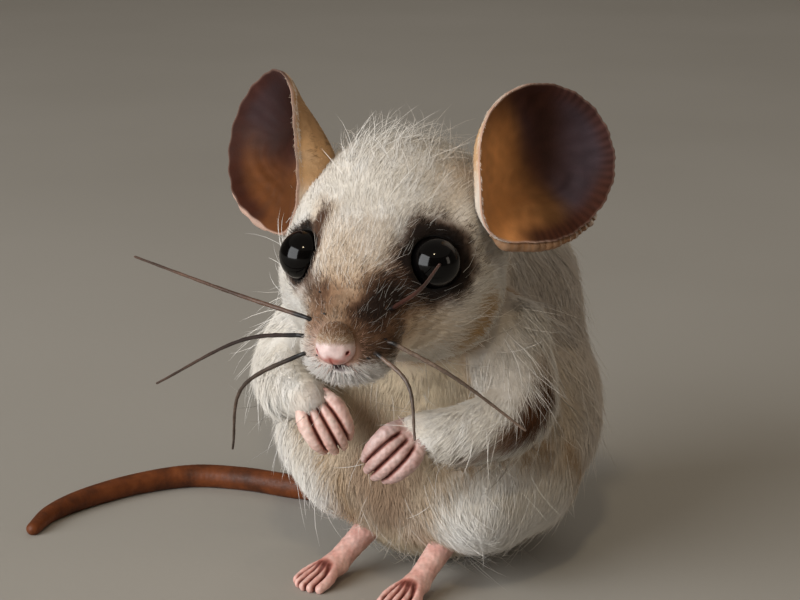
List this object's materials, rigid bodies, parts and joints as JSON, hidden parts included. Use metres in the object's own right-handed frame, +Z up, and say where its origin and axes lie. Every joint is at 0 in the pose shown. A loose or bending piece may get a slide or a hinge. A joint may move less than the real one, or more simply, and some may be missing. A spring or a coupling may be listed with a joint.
{
  "type": "felted toy mouse",
  "caption": "Needle-felted toy mouse with siamese markings, sitting up with its paws at its chest, cupped leather ears, bead eyes and a long tail curled round on the floor.",
  "frame": {"origin": "on the floor, in the middle of the flat under the rump", "axes": "+Z up, -Y the way the mouse faces, +X to its own left"},
  "size_m": [0.0666, 0.0546, 0.055],
  "materials": {
    "felt": "matte wool",
    "ear_leather": "satin",
    "glass_bead": "polished",
    "clay": "satin",
    "tail_leather": "matt",
    "strand": "satin"
  },
  "bodies": {
    "root": {"torso": "felt", "head": "felt", "arm_left": "felt", "arm_right": "felt", "thigh_left": "felt", "thigh_right": "felt", "ear_left": "ear_leather", "ear_right": "ear_leather", "eye_left": "glass_bead", "eye_right": "glass_bead", "nose": "clay", "hand_left": "clay", "hand_right": "clay", "foot_left": "clay", "foot_right": "clay", "tail_root": "tail_leather", "tail_middle": "tail_leather", "tail_tip": "tail_leather", "whisker_right_upper": "strand", "whisker_right_middle": "strand", "whisker_right_lower": "strand", "whisker_left_upper": "strand", "whisker_left_middle": "strand", "whisker_left_lower": "strand"}
  },
  "joints": []
}
